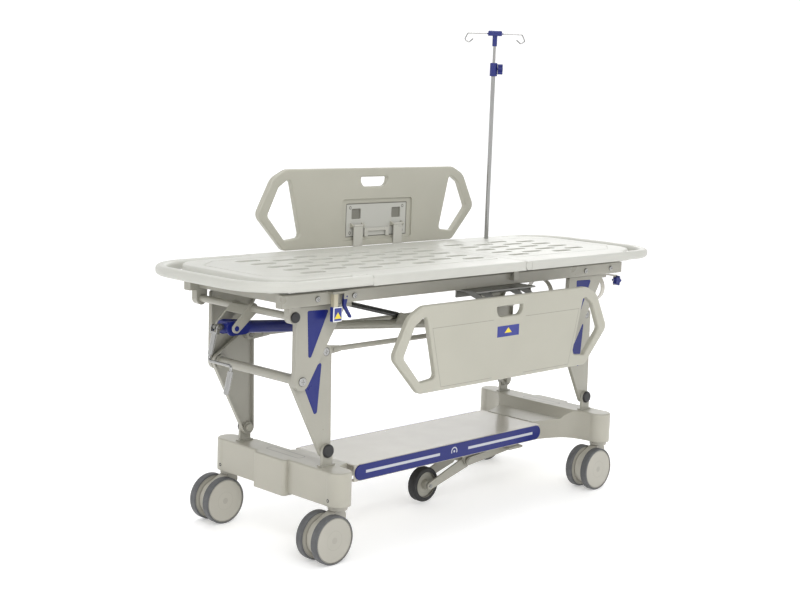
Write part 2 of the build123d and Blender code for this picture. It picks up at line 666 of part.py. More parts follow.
# ---------------------------------------------------------------- deck frame
FOOT_CROSS_XS = [-775.0, -500.0, -300.0, 30.0, BOARD_SPLIT_X]
HEAD_CROSS_XS = [440.0, 770.0]
HINGE = Vector(BOARD_SPLIT_X, 0, 841)
END_TUBE = Vector(-775, 0, 743)
with BuildPart() as deck_frame:
    rail_mid = (RAIL_Y0 + RAIL_Y1) / 2
    middle = Vector((RAIL_X0 + RAIL_X1) / 2, 0, (RAIL_Z0 + RAIL_Z1) / 2)
    with Locations(*[(middle.X, side * rail_mid, middle.Z) for side in (-1, 1)]):
        Box(RAIL_X1 - RAIL_X0, RAIL_Y1 - RAIL_Y0, RAIL_Z1 - RAIL_Z0)
    fillet(deck_frame.edges().filter_by(Axis.X), 3)
    with Locations(*[(x, 0, 792) for x in FOOT_CROSS_XS]):
        Box(30, 2 * RAIL_Y0 + 2, 28)
    with Locations(*[(x, 0, 779) for x in HEAD_CROSS_XS]):
        Box(30, 2 * RAIL_Y0 + 2, 13)
    for side in (-1, 1):
        with Locations((HINGE.X, side * 240, 795)):
            Box(24, 18, 18)
        with BuildSketch(OUT.offset(side * 247 - 3)):
            hull_sketch([(HINGE.X, HINGE.Z, 11), (HINGE.X - 8, 790, 4), (HINGE.X + 8, 790, 4)])
        extrude(amount=6)
        with BuildSketch(OUT.offset(side * 247 - 6)):
            with Locations((HINGE.X, HINGE.Z)):
                Circle(5 + RUN)
        extrude(amount=12, mode=Mode.SUBTRACT)
    for side in (-1, 1):
        with BuildSketch(OUT.offset(side * 12 - 3)):
            hull_sketch([(SPRING_TOP.X, SPRING_TOP.Z, 10), (-505, 786, 6), (-492, 786, 6)])
        extrude(amount=6)
        with BuildSketch(OUT.offset(side * 218 - 12)):
            hull_sketch([(END_TUBE.X, END_TUBE.Z, 20), (END_TUBE.X - 14, 772, 6), (END_TUBE.X + 14, 772, 6)])
        extrude(amount=24)
    with BuildSketch(OUT.offset(-240)):
        with Locations((END_TUBE.X, END_TUBE.Z)):
            Circle(11)
    extrude(amount=480, mode=Mode.SUBTRACT)
    with BuildSketch(OUT.offset(-RAIL_Y1 - 1)):
        with Locations(*[(x + dx, 790) for x in (B_FOOT, B_HEAD) for dx in (-86.6, 59.5)]):
            Circle(5)
    extrude(amount=2 * RAIL_Y1 + 2, mode=Mode.SUBTRACT)
save(deck_frame.part, "deck_frame")

leg_bolts = [both_sides(bolt(x + dx, 790, LEG_Y0 - 4, RAIL_Y1, 9, 5)).children
             for x in (B_FOOT, B_HEAD) for dx in (-86.6, 59.5)]
save(group([one for pair in leg_bolts for one in pair]), "leg_bolts")

with BuildPart() as end_tube:
    with BuildSketch(OUT.offset(-231)):
        with Locations((END_TUBE.X, END_TUBE.Z)):
            Circle(11)
    extrude(amount=462)
    for side in (-1, 1):
        with BuildSketch(OUT.offset(side * 40 - 3)):
            hull_sketch([(END_TUBE.X, END_TUBE.Z, 18), (JACK.X, JACK.Z, 14)])
        extrude(amount=6)
    with BuildSketch(OUT.offset(-37)):
        hull_sketch([(END_TUBE.X - 16, END_TUBE.Z + 8, 2), (END_TUBE.X - 36, END_TUBE.Z - 12, 2)])
    extrude(amount=74)
    with BuildSketch(OUT.offset(-60)):
        with Locations((JACK.X, JACK.Z)):
            Circle(8 + RUN)
    extrude(amount=120, mode=Mode.SUBTRACT)
save(end_tube.part, "foot_end_tube")

with BuildPart() as tube_cap:
    with BuildSketch(OUT.offset(231.5)):
        with Locations((END_TUBE.X, END_TUBE.Z)):
            Circle(16)
    extrude(amount=7)
    fillet(tube_cap.edges().filter_by(GeomType.CIRCLE).sort_by(Axis.Y)[0], 4)
save(both_sides(tube_cap.part), "end_tube_caps")


# ---------------------------------------------------------------- boards and push loops
def deck_face(inset):
    """Plan outline of the whole deck: bowed ends, round corners."""
    corner_x = DECK_L / 2 - DECK_BULGE
    half_w = DECK_W / 2
    with BuildSketch() as plan:
        with BuildLine():
            Line((-corner_x, half_w), (corner_x, half_w))
            ThreePointArc((corner_x, half_w), (DECK_L / 2, 0), (corner_x, -half_w))
            Line((corner_x, -half_w), (-corner_x, -half_w))
            ThreePointArc((-corner_x, -half_w), (-DECK_L / 2, 0), (-corner_x, half_w))
        make_face()
        fillet(plan.vertices(), CORNER_R)
        if inset:
            offset(amount=-inset)
    return plan.sketch


def x_band(x0, x1, half_width=400.0):
    """Plan rectangle from x0 to x1, as wide as asked."""
    with BuildSketch() as band:
        with Locations(((x0 + x1) / 2, 0)):
            Rectangle(x1 - x0, 2 * half_width)
    return band.sketch


def board_plan(x0, x1, loop_x, end_x):
    """Board outline: full width between x0 and x1, narrower beside the push loop out to end_x."""
    inner_half = DECK_W / 2 - EDGE_W
    toward = 1 if end_x > loop_x else -1
    with BuildSketch() as plan:
        add(deck_face(0))
        add(x_band(x0, x1), mode=Mode.INTERSECT)
        with Locations((loop_x + toward * 24, 0)):
            Rectangle(54, 2 * inner_half - 0.6)
        with BuildSketch() as tongue:
            with Locations(((loop_x + end_x) / 2 - toward * 20, 0)):
                Rectangle(abs(end_x - loop_x) + 40, 2 * (inner_half - LOOP_SIDE_GAP))
            outer_end = tongue.vertices().group_by(Axis.X)[-1 if toward > 0 else 0]
            fillet(outer_end, 118)
    return plan.sketch


VENT_L, VENT_W, VENT_PITCH_X, VENT_PITCH_Y = 96.0, 30.0, 118.0, 38.0
TOP_ROUND = 9.0


def contour(x0, x1, half, cut_x, cut_y, left, right):
    """Closed groove outline with two corners cut off at the outer end."""
    lx = cut_x if left else 0
    rx = cut_x if right else 0
    return [(x0 + lx, -half), (x1 - rx, -half), (x1, -half + (cut_y if right else 0)),
            (x1, half - (cut_y if right else 0)), (x1 - rx, half), (x0 + lx, half),
            (x0, half - (cut_y if left else 0)), (x0, -half + (cut_y if left else 0))]


def vent_grid(x0, columns):
    """Centres of staggered vents: five and four in a column by turns."""
    rows = ((-4, -2, 0, 2, 4), (-3, -1, 1, 3))
    return [(x0 + VENT_PITCH_X * i, VENT_PITCH_Y * j) for i in range(columns) for j in rows[i % 2]]


def board(plan, lower_x0, lower_x1, groove, vents):
    """Blow-moulded board: rounded edge, deeper middle, groove and vent recesses in the top."""
    with BuildPart() as made:
        with BuildSketch(Plane.XY.offset(EDGE_Z0)):
            add(plan)
        extrude(amount=DECK_Z - EDGE_Z0)
        fillet(made.edges().group_by(Axis.Z)[-1], TOP_ROUND)
        with Locations(((lower_x0 + lower_x1) / 2, 0, (BOARD_Z0 + EDGE_Z0) / 2 + 1)):
            Box(lower_x1 - lower_x0, 2 * 196, EDGE_Z0 - BOARD_Z0 + 2)
        with BuildSketch(Plane.XY.offset(DECK_Z - 1.6)) as ring:
            Polygon(*groove, align=None)
            fillet(ring.vertices(), 14)
            offset(amount=-3.5, mode=Mode.SUBTRACT)
        extrude(amount=4, mode=Mode.SUBTRACT)
        with BuildSketch(Plane.XY.offset(DECK_Z - 5)):
            with Locations(*vents):
                SlotOverall(VENT_L, VENT_W)
        extrude(amount=8, mode=Mode.SUBTRACT)
    return made


FOOT_END_X = -(DECK_L / 2 - EDGE_W - BOARD_END_GAP)
HEAD_END_X = -FOOT_END_X
SPLIT_CUT_R = 19.0
foot_vents = vent_grid(-640, 7)
head_vents = vent_grid(302, 4)
foot_groove = contour(-826, 140, 205, 84, 66, True, False)
head_groove = contour(228, 824, 205, 84, 66, False, True)


def hinge_cut(radius):
    """Full-width cylinder round the backrest's hinge line."""
    return bar(Vector(HINGE.X, 320, HINGE.Z), Vector(HINGE.X, -320, HINGE.Z), radius)


def loop_sockets(x):
    """Round sockets in the board edge that take the push loop's tenons."""
    y = DECK_W / 2 - EDGE_W / 2
    z = (EDGE_Z0 + DECK_Z) / 2
    ends = [(Vector(x - 45, side * y, z), Vector(x + 45, side * y, z)) for side in (-1, 1)]
    return [bar(a, b, 8) for a, b in ends]


foot_plan = board_plan(LOOP_FOOT_X, HINGE.X, LOOP_FOOT_X, FOOT_END_X)
foot_made = board(foot_plan, -840, HINGE.X - 20, foot_groove, foot_vents)
with BuildPart() as foot_board:
    add(foot_made.part)
    add(hinge_cut(SPLIT_CUT_R), mode=Mode.SUBTRACT)
    with Locations((HINGE.X + 2, 0, DECK_Z - 20)):
        Box(30, 700, 60, mode=Mode.SUBTRACT)
    for socket in loop_sockets(LOOP_FOOT_X):
        add(socket, mode=Mode.SUBTRACT)
save(foot_board.part, "foot_board")

head_plan = board_plan(HINGE.X, LOOP_HEAD_X, LOOP_HEAD_X, HEAD_END_X)
head_made = board(head_plan, HINGE.X + 22, 840, head_groove, head_vents)
hinge_pins = [bar(Vector(HINGE.X, side * 236, HINGE.Z), Vector(HINGE.X, side * 262, HINGE.Z), 5)
              for side in (-1, 1)]
POLE = Vector(591, 252, 0)
with BuildPart() as head_board:
    add(head_made.part)
    with Locations((HINGE.X, 0, DECK_Z - 15)):
        Box(30.5, 700, 60, mode=Mode.SUBTRACT)
    add(bar(Vector(HINGE.X, 303, HINGE.Z), Vector(HINGE.X, -303, HINGE.Z), 15))
    with Locations((HINGE.X + 9, 0, HINGE.Z)):
        Box(18, 606, 29.6)
    with Locations(*[(HINGE.X, side * 247, 853.5) for side in (-1, 1)]):
        Box(56, 9, 60, align=(Align.CENTER, Align.CENTER, Align.MAX), mode=Mode.SUBTRACT)
    for pin in hinge_pins:
        add(pin, mode=Mode.SUBTRACT)
    for socket in loop_sockets(LOOP_HEAD_X):
        add(socket, mode=Mode.SUBTRACT)
    add(bar(Vector(POLE.X, POLE.Y, 800), Vector(POLE.X, POLE.Y, 900), 8 + RUN), mode=Mode.SUBTRACT)
save(head_board.part, "head_board")

save(group(hinge_pins), "backrest_pins")


def push_loop(loop_x, toward):
    """Oval-section hand loop round one end of the deck, with tenons into the board edge."""
    with BuildPart() as loop:
        with BuildSketch(Plane.XY.offset(EDGE_Z0)):
            add(deck_face(0))
            add(deck_face(EDGE_W), mode=Mode.SUBTRACT)
            far_x = toward * 1000
            add(x_band(min(loop_x, far_x), max(loop_x, far_x)), mode=Mode.INTERSECT)
        extrude(amount=DECK_Z - EDGE_Z0)
        rims = loop.edges().filter_by(lambda e: abs(e.center().X - loop_x) > 1)
        fillet(rims.group_by(Axis.Z)[-1] + rims.group_by(Axis.Z)[0], 12)
        y = DECK_W / 2 - EDGE_W / 2
        z = (EDGE_Z0 + DECK_Z) / 2
        for side in (-1, 1):
            add(bar(Vector(loop_x + toward * 2, side * y, z), Vector(loop_x - toward * 44, side * y, z), 8))
    return loop.part


save(push_loop(LOOP_FOOT_X - 0.2, -1), "foot_push_loop")
save(push_loop(LOOP_HEAD_X + 0.2, 1), "head_push_loop")

# ---------------------------------------------------------------- backrest frame
with BuildPart() as backrest:
    with Locations(*[(530, side * 168, BOARD_Z0 - 12) for side in (-1, 1)]):
        Box(640, 25, 24)
    with Locations(*[(x, 0, BOARD_Z0 - 12) for x in (222, 520, 838)]):
        Box(25, 340, 24)
    fillet(backrest.edges().filter_by(Plane.XY).group_by(Axis.Z)[0], 3)
    with BuildSketch(Plane.XY.offset(742)):
        with Locations((POLE.X, POLE.Y)):
            Circle(11.5)
    extrude(amount=84)
    with BuildSketch(Plane.XY.offset(822)):
        hull_sketch([(POLE.X, POLE.Y, 17), (POLE.X + 46, POLE.Y, 6), (POLE.X - 46, POLE.Y, 6)])
    extrude(amount=4)
    with BuildSketch(Plane.XY.offset(744)):
        with Locations((POLE.X, POLE.Y)):
            Circle(8 + RUN)
    extrude(amount=100, mode=Mode.SUBTRACT)
save(backrest.part, "backrest_frame")

# ---------------------------------------------------------------- drip pole
COLLAR_Z0, COLLAR_Z1 = 1462.0, 1511.0
KNOB_Z = 1488.0
KNOB_DIR = Vector(0.7071, -0.7071, 0)
HEAD_Z = 1609.0
with BuildPart() as lower_pole:
    with BuildSketch(Plane.XY.offset(744.2)):
        with Locations((POLE.X, POLE.Y)):
            Circle(8)
    extrude(amount=COLLAR_Z0 + 6 - 744)
    with BuildSketch(Plane.XY.offset(COLLAR_Z0)):
        with Locations((POLE.X, POLE.Y)):
            Circle(14)
    extrude(amount=COLLAR_Z1 - COLLAR_Z0)
    fillet(lower_pole.edges().filter_by(GeomType.CIRCLE).group_by(Axis.Z)[-1], 3)
    with BuildSketch(Plane.XY.offset(900)):
        with Locations((POLE.X, POLE.Y)):
            Circle(5.5 + RUN)
    extrude(amount=700, mode=Mode.SUBTRACT)
    with BuildSketch(Plane(origin=(POLE.X, POLE.Y, KNOB_Z), z_dir=KNOB_DIR)):
        Circle(4 + RUN)
    extrude(amount=40, mode=Mode.SUBTRACT)
save(lower_pole.part, "pole_lower_tube")

HOOK_DIR = Vector(0.7071, -0.7071, 0)
hooks = []
with BuildPart() as upper_pole:
    with BuildSketch(Plane.XY.offset(960)):
        with Locations((POLE.X, POLE.Y)):
            Circle(5.5)
    extrude(amount=HEAD_Z - 960)
    with BuildSketch(Plane.XY.offset(HEAD_Z - 38)):
        with Locations((POLE.X, POLE.Y)):
            Circle(9)
    extrude(amount=40)
    with BuildSketch(Plane(origin=(POLE.X, POLE.Y, HEAD_Z), x_dir=HOOK_DIR, z_dir=(0, 0, 1))):
        RectangleRounded(52, 22, 9)
    extrude(amount=19)
    fillet(upper_pole.edges().group_by(Axis.Z)[-1], 4)
for side in (-1, 1):
    reach = HOOK_DIR * side
    start = Vector(POLE.X, POLE.Y, HEAD_Z + 8)
    with BuildPart() as hook:
        with BuildLine():
            tip = [(100, 0), (112, -24), (96, -34), (80, -20)]
            curl = [start + reach * out + Vector(0, 0, up) for out, up in tip]
            FilletPolyline(start + reach * 18, *curl, radius=7)
        with BuildSketch(along(start + reach * 18, start + reach * 60)):
            Circle(2.5)
        sweep()
    hooks.append(hook.part)
with BuildPart() as hooked_pole:
    add(upper_pole.part)
    add(hooks[0])
    add(hooks[1])
save(hooked_pole.part, "pole_upper_tube")

with BuildPart() as pole_knob:
    with BuildSketch(Plane(origin=Vector(POLE.X, POLE.Y, KNOB_Z) + KNOB_DIR * 15, z_dir=KNOB_DIR)):
        Circle(15)
        with PolarLocations(16, 6):
            Circle(5)
    extrude(amount=18)
    with BuildSketch(Plane(origin=Vector(POLE.X, POLE.Y, KNOB_Z) + KNOB_DIR * 7, z_dir=KNOB_DIR)):
        Circle(4)
    extrude(amount=10)
save(pole_knob.part, "pole_clamp_knob")

# ---------------------------------------------------------------- oxygen bottle holder
RING_XS = (490.0, 792.0)
RING_Y, RING_Z, RING_R = -102.0, 702.0, 53.0
STAR_Y, STAR_Z = -209.0, 738.0       # back face and height of the star knob
with BuildPart() as holder:
    for x in RING_XS:
        with BuildSketch(Plane.YZ.offset(x - 10)):
            with Locations((RING_Y, RING_Z)):
                Circle(RING_R)
                Circle(RING_R - 3, mode=Mode.SUBTRACT)
        extrude(amount=20)
    bar_top = RING_Z + RING_R + 3
    with Locations(((HEAD_CROSS_XS[0] + RING_XS[1]) / 2, RING_Y, bar_top - 2)):
        Box(RING_XS[1] - HEAD_CROSS_XS[0] + 26, 26, 4)
    with Locations(*[(x, RING_Y, (bar_top - 1 + 772.5) / 2) for x in HEAD_CROSS_XS]):
        Box(26, 22, 772.5 - bar_top + 1)
    with Locations((RING_XS[1], STAR_Y + 2, STAR_Z)):
        Box(20, 4, 34)
    with Locations((RING_XS[1], (RING_Y + STAR_Y) / 2, bar_top - 2)):
        Box(20, RING_Y - STAR_Y, 4)
    with BuildSketch(OUT.offset(-STAR_Y - 20)):
        with Locations((RING_XS[1], STAR_Z)):
            Circle(4 + RUN)
    extrude(amount=40, mode=Mode.SUBTRACT)
save(holder.part, "oxygen_bottle_holder")

with BuildPart() as star:
    with BuildSketch(OUT.offset(-STAR_Y + 0.5)):
        with Locations((RING_XS[1], STAR_Z)):
            Circle(13)
            with PolarLocations(13, 5):
                Circle(5)
    extrude(amount=14)
    fillet(star.faces().sort_by(Axis.Y)[0].edges(), 1.5)
    with BuildSketch(OUT.offset(-STAR_Y - 14)):
        with Locations((RING_XS[1], STAR_Z)):
            Circle(4)
    extrude(amount=18)
save(star.part, "oxygen_holder_knob")

# ---------------------------------------------------------------- squeeze lever
LEVER_X, LEVER_Z = -590.0, 792.0
with BuildPart() as lever_bracket:
    with Locations((LEVER_X - 24, -RAIL_Y1 - 8.8, 806)):
        Box(66, 17.6, 6)
    with Locations((LEVER_X - 41, -RAIL_Y1 - 6.8, 780)):
        Box(17, 13.6, 50)
    with Locations((LEVER_X - 34, -RAIL_Y1 - 7.3, 741)):
        Box(34, 14.6, 44)
    fillet(lever_bracket.edges().filter_by(Axis.Y).group_by(Axis.Z)[0], 2)
    for y in (-RAIL_Y1 - 2, -RAIL_Y1 - 15):
        with Locations((LEVER_X, y, 796)):
            Box(22, 3, 22)
    with BuildSketch(OUT.offset(RAIL_Y1 - 2)):
        with Locations((LEVER_X, LEVER_Z)):
            Circle(3)
    extrude(amount=22, mode=Mode.SUBTRACT)
save(lever_bracket.part, "release_lever_bracket")

with BuildPart() as lever:
    with BuildSketch(OUT.offset(RAIL_Y1 + 5)):
        hull_sketch([(LEVER_X, LEVER_Z, 8), (LEVER_X - 4, 764, 5)])
    extrude(amount=7)
    with BuildSketch(OUT.offset(RAIL_Y1 + 5)):
        hull_sketch([(LEVER_X - 4, 764, 5), (LEVER_X + 20, 730, 4)])
    extrude(amount=7)
    with BuildSketch(OUT.offset(RAIL_Y1 + 0.7)):
        with Locations((LEVER_X, LEVER_Z)):
            Circle(3 - RUN)
    extrude(amount=15.6)
save(lever.part, "release_lever")


# ---------------------------------------------------------------- side rails
def side_panel(z0):
    """Near-side moulded panel with a hand loop at each end, grip hole and hinge lugs."""
    joint_z = z0 + PANEL_JOINT_UP
    half = [(412, 0), (528, 122), (462, 244), (404, PANEL_H)]
    outline = half + [(-x, z) for x, z in half[::-1]]
    loop_hole = [(-388, 244), (-338, 42), (-408, 35), (-484, 120), (-438, 212)]
    with BuildPart() as panel:
        with BuildSketch(OUT.offset(SIDE_Y0)) as face:
            with Locations((SIDE_X, z0)):
                Polygon(*outline, align=None)
            levels = face.vertices().group_by(Axis.Y)
            fillet(levels[2] + levels[3], 58)
            levels = face.vertices().group_by(Axis.Y)
            fillet(levels[0] + levels[1], 30)
        extrude(amount=SIDE_Y1 - SIDE_Y0)
        for flip in (1, -1):
            with BuildSketch(OUT.offset(SIDE_Y0 - 5)) as hole:
                with Locations((SIDE_X, z0)):
                    Polygon(*[(flip * x, z) for x, z in loop_hole][::flip], align=None)
                fillet(hole.vertices(), 14)
            extrude(amount=40, mode=Mode.SUBTRACT)
        with BuildSketch(OUT.offset(SIDE_Y0 - 5)) as grip_hole:
            with Locations((SIDE_X + 2, z0 + 224)):
                Rectangle(130, 34)
            fillet(grip_hole.vertices().group_by(Axis.Y)[0], 26)
            fillet(grip_hole.vertices().group_by(Axis.Y)[-1], 6)
        extrude(amount=40, mode=Mode.SUBTRACT)
        for flat in (panel.faces().sort_by(Axis.Y)[0], panel.faces().sort_by(Axis.Y)[-1]):
            fillet(flat.edges(), 5.5)
        with BuildSketch(OUT.offset(SIDE_Y0)):
            with Locations((SIDE_X + 22, z0 + 92)):
                RectangleRounded(340, 144, 10)
        extrude(amount=6, mode=Mode.SUBTRACT)
        with BuildSketch(OUT.offset(SIDE_Y0 + 5)):
            with Locations((SIDE_X + 22, z0 + 90)):
                RectangleRounded(300, 120, 12)
        extrude(amount=2.2, mode=Mode.SUBTRACT)
        with BuildSketch(OUT.offset(SIDE_Y0 + 7)):
            with Locations(*[(SIDE_X + arm_x, z0 + 112) for arm_x in ARM_XS]):
                RectangleRounded(44, 36, 4)
        extrude(amount=5, mode=Mode.SUBTRACT)
        for arm_x in ARM_XS:
            for end in (-1, 1):
                x = SIDE_X + arm_x + end * 26
                with BuildSketch(Plane.YZ.offset(x - 3)):
                    hull_sketch([(-ARM_Y, joint_z, 4), (-SIDE_Y0 - 7, joint_z, 9)])
                extrude(amount=6)
            x = SIDE_X + arm_x
            add(bar(Vector(x - 28, -ARM_Y, joint_z), Vector(x + 28, -ARM_Y, joint_z), 2.5))
    return panel.part


def swing_arms(pivot_z, joint_z):
    """The two steel arms of one side rail, each with a barrel at both ends."""
    arms = []
    for arm_x in ARM_XS:
        x = SIDE_X + arm_x
        with BuildPart() as arm:
            with Locations((x, -ARM_Y, (pivot_z + joint_z) / 2)):
                Box(42, 4.5, abs(pivot_z - joint_z))
            for z in (pivot_z, joint_z):
                add(bar(Vector(x - 21, -ARM_Y, z), Vector(x + 21, -ARM_Y, z), 4))
            for z in (pivot_z, joint_z):
                add(bar(Vector(x - 30, -ARM_Y, z), Vector(x + 30, -ARM_Y, z), 2.5 + RUN), mode=Mode.SUBTRACT)
        arms.append(arm.part)
    return group(arms)


def rail_bracket():
    """Hinge bracket under the deck rail: plate, four lugs and two pivot shafts."""
    with BuildPart() as bracket:
        with Locations((SIDE_X + 22, -252, RAIL_Z0)):
            Box(294, 90, 5, align=(Align.CENTER, Align.CENTER, Align.MAX))
        with Locations((SIDE_X + 22, -208.5, RAIL_Z0)):
            Box(294, 5, 28, align=(Align.CENTER, Align.CENTER, Align.MAX))
        for arm_x in ARM_XS:
            for end in (-1, 1):
                x = SIDE_X + arm_x + end * 26
                with BuildSketch(Plane.YZ.offset(x - 3)):
                    hull_sketch([(-ARM_Y, ARM_Z, 4), (-285, 762, 5), (-240, 762, 5)])
                extrude(amount=6)
            x = SIDE_X + arm_x
            add(bar(Vector(x - 28, -ARM_Y, ARM_Z), Vector(x + 28, -ARM_Y, ARM_Z), 2.5))
    return bracket.part


def latch_bar(z0):
    """Sliding latch bar in the panel's hinge recess."""
    with BuildPart() as latch:
        with Locations((SIDE_X + 20.5, -(SIDE_Y0 + 3.2), z0 + 56)):
            Box(120, 4, 12)
        for end in (-1, 1):
            with Locations((SIDE_X + 20.5 + end * 52, -(SIDE_Y0 + 3.2), z0 + 46)):
                Box(16, 4, 30)
        fillet(latch.edges().filter_by(Axis.Y), 1.5)
    return latch.part


Z_DOWN = ARM_Z - ARM_LEN - PANEL_JOINT_UP
Z_UP = ARM_Z + ARM_LEN - PANEL_JOINT_UP
save(side_panel(Z_DOWN), "side_rail_near")
save(mirror(side_panel(Z_UP), about=Plane.XZ), "side_rail_far")
save(swing_arms(ARM_Z, ARM_Z - ARM_LEN), "swing_arms_near")
save(mirror(swing_arms(ARM_Z, ARM_Z + ARM_LEN), about=Plane.XZ), "swing_arms_far")
save(rail_bracket(), "rail_bracket_near")
save(mirror(rail_bracket(), about=Plane.XZ), "rail_bracket_far")
save(latch_bar(Z_DOWN), "latch_bar_near")
save(mirror(latch_bar(Z_UP), about=Plane.XZ), "latch_bar_far")
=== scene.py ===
import math

import bmesh
import bpy
from mathutils import Matrix, Vector


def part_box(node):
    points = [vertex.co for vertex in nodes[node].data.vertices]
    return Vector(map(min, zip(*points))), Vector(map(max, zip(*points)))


# Looks of a patient transport trolley. Metres, in the CAD frame: floor at z 0, +X to the head end,
# +Y to the side whose rail is raised.

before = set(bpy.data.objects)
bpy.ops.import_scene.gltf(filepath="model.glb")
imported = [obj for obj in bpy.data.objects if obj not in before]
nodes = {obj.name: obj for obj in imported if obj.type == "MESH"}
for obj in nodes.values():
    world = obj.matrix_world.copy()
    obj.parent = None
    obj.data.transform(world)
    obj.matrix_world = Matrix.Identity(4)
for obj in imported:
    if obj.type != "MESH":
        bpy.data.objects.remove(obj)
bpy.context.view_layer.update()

# ---------------------------------------------------------------- colours (linear RGB)
WARM_GREY = (0.330, 0.320, 0.272)
DECK_GREY = (0.510, 0.510, 0.468)
RAIL_GREY = (0.410, 0.400, 0.338)
BASE_GREY = (0.400, 0.385, 0.326)
TRAY_GREY = (0.500, 0.475, 0.415)
PLATE_GREY = (0.470, 0.468, 0.430)
HUB_GREY = (0.400, 0.385, 0.335)
DARK_HUB_GREY = (0.30, 0.30, 0.30)
ARM_GREY = (0.470, 0.462, 0.415)
TYRE_GREY = (0.085, 0.087, 0.090)
BLACK = (0.014, 0.014, 0.015)
WHITE = (0.800, 0.800, 0.790)
BEIGE = (0.480, 0.440, 0.330)
YELLOW = (0.760, 0.600, 0.040)
BLUE = (0.009, 0.016, 0.150)
LABEL_BLUE = (0.022, 0.032, 0.230)
STRIPE_GREY = (0.50, 0.52, 0.56)
CHROME = (0.360, 0.360, 0.352)
ZINC = (0.240, 0.240, 0.228)

# What shows at an edge: bare or rubbed material, and except on the arms also a painted edge highlight.
WORN_AND_HIGHLIT_STEEL = (0.70, 0.69, 0.67)
WORN_AND_HIGHLIT_BLUE = (0.05, 0.07, 0.30)
WORN_AND_HIGHLIT_BLACK = (0.10, 0.10, 0.10)
WORN_AND_HIGHLIT_NYLON = (0.07, 0.07, 0.07)
WORN_AND_HIGHLIT_CHROME = (0.62, 0.60, 0.56)
WORN_AND_HIGHLIT_TUBE = (0.50, 0.49, 0.46)
WORN_ARM = (0.22, 0.22, 0.21)

# ---------------------------------------------------------------- places of painted details
PIN_HEAD_Y = 0.175                            # the pin heads inside this are pale
RAIL_FACE_Y = 0.3345                          # the raised rail's moulded line lies outside this
RECESS_Y = (0.3190, 0.32425)                  # floor of a rail's hinge recess, from and to
POCKET_Y = (0.3244, 0.33025)                  # walls of its two arm pockets, from and to
CASTOR_R, CASTOR_RING_R = 0.0690, 0.0672      # where the tyre starts, and a ring moulded in the hub
FIFTH_R, FIFTH_RING_R = 0.0440, 0.0430


class Shade:
    """Builds one node material, with short names for the nodes it needs."""

    def __init__(self, name):
        self.material = bpy.data.materials.new(name)
        self.material.use_nodes = True
        self.tree = self.material.node_tree
        self.shader = self.tree.nodes["Principled BSDF"]
        self.place = self.node("ShaderNodeTexCoord").outputs["Object"]
        axes = self.node("ShaderNodeSeparateXYZ")
        self.tree.links.new(self.place, axes.inputs[0])
        self.x, self.y, self.z = axes.outputs

    def node(self, kind, **settings):
        made = self.tree.nodes.new(kind)
        for key, value in settings.items():
            setattr(made, key, value)
        return made

    def feed(self, value, socket):
        """Link a socket, or set a constant."""
        if isinstance(value, bpy.types.NodeSocket):
            self.tree.links.new(value, socket)
        else:
            socket.default_value = value

    def math(self, operation, a, b=0.0, clamp=False):
        made = self.node("ShaderNodeMath", operation=operation, use_clamp=clamp)
        self.feed(a, made.inputs[0])
        self.feed(b, made.inputs[1])
        return made.outputs[0]

    def minus(self, a, b):
        return self.math("SUBTRACT", a, b)

    def both(self, a, b):
        """Product of two masks or numbers."""
        return self.math("MULTIPLY", a, b)

    def most(self, a, b):
        return self.math("MAXIMUM", a, b)

    def gap(self, value, middle=0.0):
        """How far value is from middle, on either side."""
        return self.math("ABSOLUTE", self.minus(value, middle))

    def radius(self, a, a0, b, b0):
        """Distance from the line a = a0, b = b0."""
        da, db = self.minus(a, a0), self.minus(b, b0)
        return self.math("SQRT", self.math("ADD", self.both(da, da), self.both(db, db)))

    def noise(self, scale, detail=4.0, roughness=0.5):
        made = self.node("ShaderNodeTexNoise")
        self.feed(self.place, made.inputs["Vector"])
        made.inputs["Scale"].default_value = scale
        made.inputs["Detail"].default_value = detail
        made.inputs["Roughness"].default_value = roughness
        return made.outputs["Fac"]

    def span(self, value, low, high, to_low=0.0, to_high=1.0):
        """Map low..high to to_low..to_high, held at both ends."""
        made = self.node("ShaderNodeMapRange", clamp=True)
        self.feed(value, made.inputs["Value"])
        ends = (("From Min", low), ("From Max", high), ("To Min", to_low), ("To Max", to_high))
        for key, number in ends:
            made.inputs[key].default_value = number
        return made.outputs["Result"]

    def above(self, value, limit, soft=0.0005):
        """1 where value is over limit, with an edge that fades over twice soft."""
        return self.span(value, limit - soft, limit + soft)

    def below(self, value, limit, soft=0.0005):
        """1 where value is under limit."""
        return self.span(value, limit - soft, limit + soft, 1.0, 0.0)

    def band(self, value, low, high, soft=0.0003):
        """1 where value lies between low and high."""
        return self.both(self.above(value, low, soft), self.below(value, high, soft))

    def mix(self, factor, a, b):
        made = self.node("ShaderNodeMix", data_type="RGBA")
        self.feed(factor, made.inputs[0])
        self.feed((*a, 1.0) if isinstance(a, tuple) else a, made.inputs[6])
        self.feed((*b, 1.0) if isinstance(b, tuple) else b, made.inputs[7])
        return made.outputs[2]

    def line(self, distance, width=0.0009):
        """Thin line where a signed distance is near nought."""
        return self.below(self.gap(distance), width, width * 0.4)


def tint(colour, gain):
    return tuple(min(1.0, channel * gain) for channel in colour)


